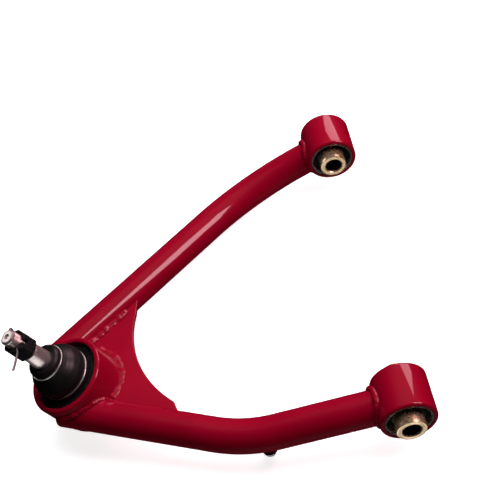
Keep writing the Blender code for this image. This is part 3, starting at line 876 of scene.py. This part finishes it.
def sleeve_mesh(half, outer, bore):
    """The inner sleeve: chamfered rims and fine radial teeth on both end faces."""
    teeth = 44
    per_tooth = 4
    sides = teeth * per_tooth
    tooth_depth = 0.28 * MM
    edge = 0.9 * MM
    profile = [
        (bore, half - 1.2 * MM, 0),
        (bore + 0.8 * MM, half, 0),
        (bore + 1.1 * MM, half, 1),
        (outer - edge - 0.3 * MM, half, 1),
        (outer - edge, half, 0),
        (outer - edge * 0.3, half - edge * 0.3, 0),
        (outer, half - edge, 0),
        (outer, half - 7 * MM, 0),
    ]
    rows = profile + [(r, -z, t) for r, z, t in reversed(profile)]
    mesh = bmesh.new()
    rings = []
    for r, z, toothed in rows:
        ring = []
        for k in range(sides):
            a = 2 * math.pi * k / sides
            dip = tooth_depth if toothed and k % per_tooth >= per_tooth // 2 else 0
            ring.append(mesh.verts.new((r * math.cos(a), r * math.sin(a), z - math.copysign(dip, z))))
        rings.append(ring)
    skin(mesh, rings, closed=True)
    return mesh


def build_bushing(side):
    matrix = EYES[side]
    half = 21.75 * MM
    shell_outer, shell_inner = 21.1 * MM, 19.6 * MM
    corners = [
        (shell_outer, half, 0.4 * MM),
        (shell_outer, -half, 0.4 * MM),
        (shell_inner, -half, 0.5 * MM),
        (shell_inner, half, 0.5 * MM),
    ]
    shell = to_object(side + "_outer_shell", turned(filleted(corners, 3), 128), ZINC, matrix)
    put(shell, "arm", side + "_bushing_shell", slot="bright_zinc")

    outer, inner = shell_inner - RUBBER_GAP, SLEEVE_RADIUS + RUBBER_GAP
    top = 18 * MM
    half_profile = [
        (outer, top, 0.5 * MM),
        (outer - 1.0 * MM, top, 0.5 * MM),
        (outer - 2.0 * MM, top - 2.2 * MM, 0.9 * MM),
        (inner + 2.0 * MM, top - 2.2 * MM, 0.9 * MM),
        (inner + 1.1 * MM, top, 0.5 * MM),
        (inner, top, 0.4 * MM),
    ]
    corners = half_profile + [(r, -z, f) for r, z, f in reversed(half_profile)]
    bond = to_object(side + "_bonded_rubber", turned(filleted(corners, 4), 128), BUSH_RUBBER, matrix)
    put(bond, "arm", side + "_bushing_rubber", slot="rubber")

    mesh = sleeve_mesh(SLEEVE_HALF, SLEEVE_RADIUS, SLEEVE_BORE)
    sleeve = to_object(side + "_inner_sleeve", mesh, GOLD, matrix, 25)
    # The bore's faces take the darker steel, painted shade inside the bore.
    sleeve.data.materials.append(BORE_PAINTED_SHADE)
    for face in sleeve.data.polygons:
        reach = face.center - matrix.translation
        if (reach - EYE_AXIS * reach.dot(EYE_AXIS)).length < SLEEVE_BORE + 0.05 * MM:
            face.material_index = 1
    put(sleeve, side + "_sleeve", side + "_bushing_sleeve", slot="yellow_zinc")


# ---- hose bracket post


def build_post(paths):
    foot = point_at_x(paths["rear"], POST_X)
    matrix = matrix_from(foot, POST_HEADING, ACROSS)
    corners = [
        (0, 12, 0), (7.0, 12, 0), (7.0, 19.0, 0.8), (4.9, 19.6, 0.6), (4.8, 20.4, 0),
        (4.8, 30.2, 0.4), (3.2, 30.2, 0), (3.2, 16, 0), (0, 16, 0),
    ]
    post = lathed("bracket_stem", corners, 4, 64, BLACK, matrix, closed=False)
    put(post, "arm", "bracket_post", slot="black_steel")
    # The weld where the stem's foot meets the tube's wall
    ring = []
    for k in range(72):
        a = 2 * math.pi * k / 72
        local = POST_FOOT_RADIUS * Vector((math.cos(a), math.sin(a), 0))
        world = matrix.to_3x3() @ local
        across = world - REAR_HEADING * world.dot(REAR_HEADING)
        rise = math.sqrt(max(0.0, TUBE_RADIUS**2 - across.length_squared))
        ring.append(foot + world + POST_HEADING * (rise - BITE))
    weld("bracket_foot_weld", ring, 1.5 * MM, 41, closed=True)
    corners = [
        (0, 17, 0), (2.9, 17, 0), (2.9, 30.5, 0), (6.9, 30.5, 0.3), (6.9, 31.5, 0.3),
        (5.9, 31.7, 0.2), (5.7, 35.8, 0.7), (0, 36.4, 0),
    ]
    screw = lathed("bracket_bolt", corners, 4, 72, CHROME, matrix, closed=False)
    socket = to_object("tool", prism(4.6 * MM, 33.2 * MM, 41 * MM, 0.3), None, matrix)
    applied(screw, [socket])
    softened(screw, 0.12 * MM, 2)
    put(screw, "arm", "bracket_screw", slot="chrome")


# ---- ball joint


def build_housing():
    corners = [
        (33.0, 20.0, 1.4), (33.0, -19.6, 1.6), (24.6, -19.6, 0.6), (23.8, -18.9, 0.4),
        (21.6, -18.9, 0.4), (21.0, -19.6, 0.5), (20.25, -19.6, 0.3), (20.25, -16.2, 0),
        (19.2, -16.2, 0), (19.2, 12.5, 0), (14.0, 12.5, 0.3), (19.4, 22.4, 0.4),
        (21.8, 22.4, 0.4), (21.8, 20.3, 0.5), (27.0, 20.0, 0),
    ]
    body = lathed("joint_housing", corners, 4, 144, HOUSING_BLACK, JOINT)
    put(body, "arm", "ball_joint_housing", slot="black_steel")
    corners = [
        (2.6, -16.5, 0), (19.9, -16.5, 0), (19.9, -20.4, 0.4), (18.4, -22.0, 0.9),
        (16.4, -22.0, 0.9), (15.2, -19.8, 0.6), (13.6, -18.9, 0.5), (11.2, -19.1, 0.6),
        (7.2, -21.0, 1.2), (3.4, -21.0, 0.3), (2.6, -20.5, 0),
    ]
    cap = lathed("joint_end_cap", corners, 5, 144, CAP_GOLD, JOINT)
    put(cap, "arm", "ball_joint_cap", slot="yellow_zinc")
    corners = [
        (0, -17.2, 0), (2.3, -17.2, 0), (2.3, -21.4, 0), (3.5, -22.8, 0.3), (2.3, -23.3, 0.2),
        (1.9, -24.0, 0.3), (2.2, -24.7, 0.3), (3.0, -25.4, 0.4), (2.4, -26.6, 0.4),
        (1.1, -26.8, 0.2), (0.8, -26.4, 0), (0, -26.2, 0),
    ]
    fitting = lathed("grease_nipple", corners, 4, 48, ZINC, JOINT, closed=False)
    put(fitting, "arm", "grease_fitting", slot="bright_zinc")
    base = to_object("grease_nipple_hex", prism(7.6 * MM, -22.9 * MM, -21.1 * MM, 0.2), ZINC, JOINT)
    applied(base, [rod_tool(2.2 * MM, -30 * MM, -20 * MM, JOINT, 48)])
    softened(base, 0.25 * MM, 3)
    put(base, "arm", slot="bright_zinc")


def boot_outside():
    """The boot's outside from its base lip to its top, as (r, z, fillet) corners in millimetres."""
    return [
        (24.2, 20.4, 0.3), (24.8, 21.6, 0.5), (24.6, 24.5, 0.5), (24.0, 25.2, 0.3),
        (24.0, 27.4, 0.3), (25.0, 28.0, 0.5), (25.8, 30.5, 3.0), (26.0, 36.0, 8.0),
        (24.0, 42.6, 9.0), (20.2, 47.6, 6.0), (17.9, 49.7, 0.9), (16.2, 50.4, 0.4),
        (16.1, 52.5, 0.4), (16.8, 53.3, 0.5), (16.3, 56.4, 2.0), (14.4, 58.6, 1.6),
        (11.3, 58.4, 0.8), (10.3, 57.2, 0.4),
    ]


def boot_inside():
    """Its inside from the top back to the base lip."""
    return [
        (10.2, 53.6, 0.6), (13.4, 50.2, 1.5), (19.0, 45.4, 3.0), (23.6, 37.6, 4.0),
        (23.9, 33.0, 2.0), (23.3, 30.0, 0.8), (22.2, 27.4, 0.4), (22.2, 20.4, 0.2),
    ]


def cut_profile(points, z, keep_above):
    """The part of a closed (r, z) profile on one side of a height."""
    kept = []
    for here, after in zip(points, points[1:] + points[:1]):
        inside = here.y >= z if keep_above else here.y <= z
        inside_after = after.y >= z if keep_above else after.y <= z
        if inside:
            kept.append(here)
        if inside != inside_after:
            kept.append(here.lerp(after, (z - here.y) / (after.y - here.y)))
    return kept


def build_boot():
    profile = filleted(millimetres(boot_outside() + boot_inside()), 5)
    on_axis = [JOINT @ Vector((0, 0, z)) for z in (BOOT_BEND_LOW, BOOT_SPLIT, BOOT_BEND_HIGH)]
    halves = (
        ("boot_lower", False, ("arm", "liner"), on_axis[0], on_axis[1]),
        ("boot_upper", True, ("liner", "boot_collar"), on_axis[1], on_axis[2]),
    )
    for name, above, bodies, start, end in halves:
        part = densified(cut_profile(profile, BOOT_SPLIT, above), 1.4 * MM)
        half = to_object(name, turned(part, 128), BOOT_RUBBER, JOINT, 60)
        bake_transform(half)
        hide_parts("dust_boot")


def wire_ring(name, body, node, radius, z, wire, start_deg, rise):
    """A sprung wire ring whose ends overlap side by side."""
    turns = 1.04
    steps = 200
    path = []
    for k in range(steps + 1):
        share = k / steps
        a = math.radians(start_deg) + 2 * math.pi * turns * share
        blend_up = min(1.0, max(0.0, (share * turns - 0.93) / 0.07))
        path.append(Vector((radius * math.cos(a), radius * math.sin(a), z + rise * blend_up)))
    around_wire = circle(wire, 12)
    made = to_object(name, swept(path, lambda i: around_wire, UP), WIRE, JOINT, 60)
    put(made, body, node, slot="bright_zinc")


def threaded(low, high, radius, depth, pitch, sides):
    """Rows of (radius, angle, height) points that follow a helical thread, fading at both ends."""
    rows = []
    step = pitch / 6
    count = int((high - low) / step)
    for j in range(count + 1):
        z = low + (high - low) * j / count
        fade = min(1.0, (z - low) / (1.5 * pitch), (high - z) / (0.8 * pitch))
        row = []
        for k in range(sides):
            a = 2 * math.pi * k / sides
            wave = abs(((z / pitch - k / sides) % 1.0) * 2 - 1)
            row.append((radius - depth * fade * wave, a, z))
        rows.append(row)
    return rows


def build_stud():
    sides = 72
    low_deg = 160
    neck_deg = math.degrees(math.asin(NECK_RADIUS / BALL_RADIUS))
    ball = []
    for k in range(21):
        a = math.radians(low_deg + (neck_deg - low_deg) * k / 20)
        ball.append(BALL_RADIUS * Vector((math.sin(a), math.cos(a))))
    corners = [
        (7.4, 14.0, 0), (7.4, 26.0, 3.0), (8.0, 37.0, 4.0), (9.9, 43.0, 2.0), (9.9, 51.0, 4.0),
        (8.65, 76.4, 0.4), (7.2, 77.4, 0.3), (7.2, 78.0, 0),
    ]
    shank = filleted(millimetres(corners), 4)
    rows = []
    for r, z in ball + densified(shank, 2 * MM, closed=False):
        rows.append([(r, 2 * math.pi * k / sides, z) for k in range(sides)])
    rows += threaded(78 * MM, STUD_TIP - 1.7 * MM, THREAD_RADIUS, 0.62 * MM, THREAD_PITCH, sides)[1:]
    # The chamfered end with a turned dimple: radius, and depth below the tip
    end = ((7.1, 1.5), (6.0, 0.3), (5.7, 0.05), (5.3, 0.05), (5.0, 0.3), (2.6, 0.3), (2.2, 0.6), (0.8, 1.7))
    for r, depth in millimetres(end):
        rows.append([(r, 2 * math.pi * k / sides, STUD_TIP - depth) for k in range(sides)])
    mesh = bmesh.new()
    rings = [[mesh.verts.new((r * math.cos(a), r * math.sin(a), z)) for r, a, z in row] for row in rows]
    skin(mesh, rings, capped=True)
    stud = to_object("stud_shank", mesh, STUD_STEEL, JOINT, 40)
    applied(stud, [rod_tool(PIN_HOLE_RADIUS, -PIN_TOOL_REACH, PIN_TOOL_REACH, pin_matrix(), 40)])
    put(stud, "stud", "ball_stud", slot="bare_steel")


def pin_matrix():
    turn = JOINT.to_3x3()
    heading = turn @ Vector((math.cos(PIN_TURN), math.sin(PIN_TURN), 0))
    return matrix_from(JOINT @ Vector((0, 0, PIN_Z)), heading, STUD_AXIS)


def build_nut():
    nut = to_object("slotted_nut", prism(NUT_FLATS, NUT_BASE, NUT_TOP, NUT_TURN), BLACK, JOINT)
    corner = NUT_FLATS / math.sqrt(3)
    chamfer = 1.5 * MM
    lens = [
        Vector((0, NUT_BASE)),
        Vector((NUT_FLATS / 2 - 0.4 * MM, NUT_BASE)),
        Vector((corner + 0.2 * MM, NUT_BASE + chamfer)),
        Vector((corner + 0.2 * MM, NUT_TOP - chamfer * 1.3)),
        Vector((NUT_FLATS / 2 - 0.8 * MM, NUT_TOP)),
        Vector((0, NUT_TOP)),
    ]
    applied(nut, [to_object("tool", turned(lens, 144, closed=False), None, JOINT)], "INTERSECT")
    bore = [
        Vector((0, NUT_BASE - 1 * MM)),
        Vector((THREAD_RADIUS + 1.9 * MM, NUT_BASE - 1 * MM)),
        Vector((THREAD_RADIUS + 0.25 * MM, NUT_BASE + 0.8 * MM)),
        Vector((THREAD_RADIUS + 0.25 * MM, NUT_TOP - 0.8 * MM)),
        Vector((THREAD_RADIUS + 1.9 * MM, NUT_TOP + 1 * MM)),
        Vector((0, NUT_TOP + 1 * MM)),
    ]
    tools = [to_object("tool", turned(bore, 96, closed=False), None, JOINT)]
    size = (2 * NUT_FLATS, NUT_SLOT_WIDTH, 2 * NUT_SLOT_DEPTH)
    for k in range(3):
        slot = box_mesh((0, 0, NUT_TOP), size, PIN_TURN + k * math.pi / 3)
        tools.append(to_object("tool", slot, None, JOINT))
    applied(nut, tools)
    # Its rounded edges take the lighter steel: wear, and a painted highlight.
    softened(nut, 0.35 * MM, 2, 30, WORN_EDGE_AND_HIGHLIGHT)
    put(nut, "stud", "castle_nut", slot="black_steel")


def build_pin():
    """The split pin: one half-round wire folded at its eye, with both legs bent the same way."""
    fold = 0.12 * MM  # from the pin's middle to the flat side of each leg
    wire = 0.85 * MM
    bend_start = NUT_FLATS / 2 + 1.2 * MM
    bend_radius = 4 * MM
    eye_radius = 2.5 * MM
    leg_length = 17 * MM
    legs = []
    for side, share in ((1, 1.0), (-1, 0.94)):
        leg = [Vector((side * fold, 0, z * MM)) for z in (-6, -2, 2, 6, 9)]
        for k in range(9):
            angle = PIN_BEND * k / 8
            x = side * (fold + 0.15 * MM * k / 8)
            y = bend_radius * (1 - math.cos(angle))
            leg.append(Vector((x, y, bend_start + bend_radius * math.sin(angle))))
        last = leg[-1]
        along = Vector((side * 0.012, math.sin(PIN_BEND), math.cos(PIN_BEND)))
        sag = Vector((0, math.cos(PIN_BEND), -math.sin(PIN_BEND)))
        for k in range(1, 9):
            far = leg_length * share * k / 8
            leg.append(last + along * far + sag * 0.8 * MM * (k / 8) ** 2)
        legs.append(leg)
    eye_z = -(NUT_FLATS / 2 + 0.75 * MM + eye_radius)
    eye = []
    for k in range(25):
        angle = math.radians(38 + 284 * k / 24)
        reach = Vector((math.sin(angle), 0, math.cos(angle))) * eye_radius
        eye.append(reach + Vector((0, 0, eye_z)))
    neck = [Vector((fold * 1.4, 0, eye_z + 4.0 * MM)), Vector((-fold * 1.4, 0, eye_z + 4.0 * MM))]
    path = [*reversed(legs[0]), neck[0], *eye, neck[1], *legs[1]]
    half_round = []
    for k in range(11):
        a = -math.pi / 2 + math.pi * k / 10
        half_round.append((wire * 0.95 * math.cos(a), wire * math.sin(a)))
    mesh = swept(path, lambda i: half_round, ACROSS)
    pin = to_object("split_pin", mesh, PIN_STEEL, pin_matrix(), 50)
    put(pin, "stud", "cotter_pin", slot="bare_steel")


def finish_inner_pieces():
    """The pieces sealed inside the joint keep their CAD shape and get a real finish."""
    for node, material in (
        ("upper_bearing", NYLON),
        ("lower_bearing", NYLON),
        ("ball_liner", NYLON),
        ("preload_spring", ZINC),
    ):
        data = frame["nodes"][node].data
        data.materials.clear()
        data.materials.append(material)


# ---- studio

PINK = (1.0, 0.60, 0.68)
CAMERA_PLACE = Vector((0.0006, -0.7037, 0.8261))
CAMERA_RIGHT = Vector((0.95463, -0.1507, -0.25685)).normalized()
CAMERA_UP = Vector((0.28345, 0.72427, 0.62857))
CAMERA_LENS_MM = 82.3
CAMERA_SENSOR_MM = 36


def area_light(name, place, target, size, power, colour=(1, 1, 1), glossy=True):
    data = bpy.data.lights.new(name, "AREA")
    data.shape = "RECTANGLE"
    data.size, data.size_y = size
    data.energy = power
    data.color = colour
    lamp = bpy.data.objects.new(name, data)
    bpy.context.collection.objects.link(lamp)
    lamp.location = place
    lamp.rotation_euler = (Vector(target) - Vector(place)).to_track_quat("-Z", "Y").to_euler()
    lamp.visible_glossy = glossy
    return lamp


def backdrop(name, mesh, material):
    """A surface of the studio that only the camera sees, so that it puts no light on the part."""
    made = to_object(name, mesh, material)
    made.visible_diffuse = False
    made.visible_glossy = False
    made.visible_shadow = False
    return made


def build_studio():
    """White paper under and round the part."""
    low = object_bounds()[0]
    wall_radius = 6
    mesh = bmesh.new()
    bmesh.ops.create_circle(mesh, cap_ends=True, cap_tris=True, segments=96, radius=wall_radius - 0.1)
    floor = backdrop("studio_floor", mesh, floor_paper())
    floor.location.z = low[2] - 0.6 * MM
    mesh = bmesh.new()
    bmesh.ops.create_uvsphere(mesh, u_segments=64, v_segments=32, radius=wall_radius)
    bmesh.ops.reverse_faces(mesh, faces=mesh.faces)
    backdrop("studio_wall", mesh, backdrop_paint("wall_paper", 1.0).material)


def build_sky():
    """Dim light from above and, as if off a white floor, from below."""
    world = bpy.data.worlds.new("studio")
    bpy.context.scene.world = world
    world.use_nodes = True
    tree = world.node_tree
    place = tree.nodes.new("ShaderNodeTexCoord")
    split = tree.nodes.new("ShaderNodeSeparateXYZ")
    tree.links.new(place.outputs["Generated"], split.inputs["Vector"])
    total = tree.nodes.new("ShaderNodeMath")
    above = map_range(tree, split.outputs["Z"], -0.25, 0.6, 0.01, 0.07)
    below = map_range(tree, split.outputs["Z"], -0.9, -0.15, 0.10, 0.0)
    tree.links.new(above, total.inputs[0])
    tree.links.new(below, total.inputs[1])
    tree.links.new(total.outputs["Value"], tree.nodes["Background"].inputs["Strength"])


def build_lights(metals):
    """Softboxes round the part, and two weak lights that only the bright metals catch."""
    middle = Vector((-0.13, 0.0, 0.0))
    reach = 1.5
    area_light("overhead", (0.12, 0.22, 1.15), (0.0, 0.0, 0.0), (1.1, 1.0), 14.5, glossy=False)
    area_light("right_softbox", middle + Vector((0.76, -0.11, 0.64)) * reach, middle, (0.55, 0.75), 12, PINK)
    area_light("back_softbox", middle + Vector((0.53, 0.67, 0.515)) * reach, middle, (1.0, 0.6), 9, PINK)
    bounce = area_light("front_bounce", (-0.2, -0.75, -0.6), middle, (1.2, 0.8), 5.5)
    card = area_light("stud_card", BALL + Vector((-0.64, 0.62, 0.475)) * 1.3, BALL, (0.7, 0.7), 3.5)
    area_light("rear_fill", (-0.3, 1.3, 0.2), middle, (1.0, 0.7), 5, glossy=False)
    area_light("floor_bounce", (-0.15, -0.8, -1.0), middle, (1.8, 1.2), 9, glossy=False)
    group = bpy.data.collections.new("bright_metals")
    for item in metals:
        group.objects.link(item)
    bounce.light_linking.receiver_collection = group
    card.light_linking.receiver_collection = group


def build_camera():
    data = bpy.data.cameras.new("view")
    camera = bpy.data.objects.new("view", data)
    bpy.context.collection.objects.link(camera)
    up = (CAMERA_UP - CAMERA_RIGHT * CAMERA_UP.dot(CAMERA_RIGHT)).normalized()
    turn = Matrix((CAMERA_RIGHT, up, CAMERA_RIGHT.cross(up))).transposed()
    camera.matrix_world = Matrix.Translation(CAMERA_PLACE) @ turn.to_4x4()
    data.sensor_width = CAMERA_SENSOR_MM
    data.lens = CAMERA_LENS_MM
    data.clip_start = 0.01
    bpy.context.scene.camera = camera
    bpy.context.scene.view_settings.view_transform = "Standard"


def main():
    build_camera()
    paths = build_arm()
    for side in ("front", "rear"):
        build_bushing(side)
    build_post(paths)
    build_housing()
    build_boot()
    base = {"radius": 24.9 * MM, "z": 26.3 * MM, "wire": 0.8 * MM, "start_deg": -12, "rise": 0.4 * MM}
    neck = {"radius": 16.95 * MM, "z": 51.5 * MM, "wire": 0.75 * MM, "start_deg": 150, "rise": 0.3 * MM}
    wire_ring("boot_base_wire", "arm", "boot_base_ring", **base)
    wire_ring("boot_neck_wire", "boot_collar", "boot_neck_ring", **neck)
    build_stud()
    build_nut()
    build_pin()
    finish_inner_pieces()
    bright = (GOLD, CAP_GOLD, WIRE, STUD_STEEL, CHROME)
    metals = [item for item in bpy.data.objects if item.type == "MESH" and item.active_material in bright]
    build_studio()
    build_sky()
    build_lights(metals)


main()
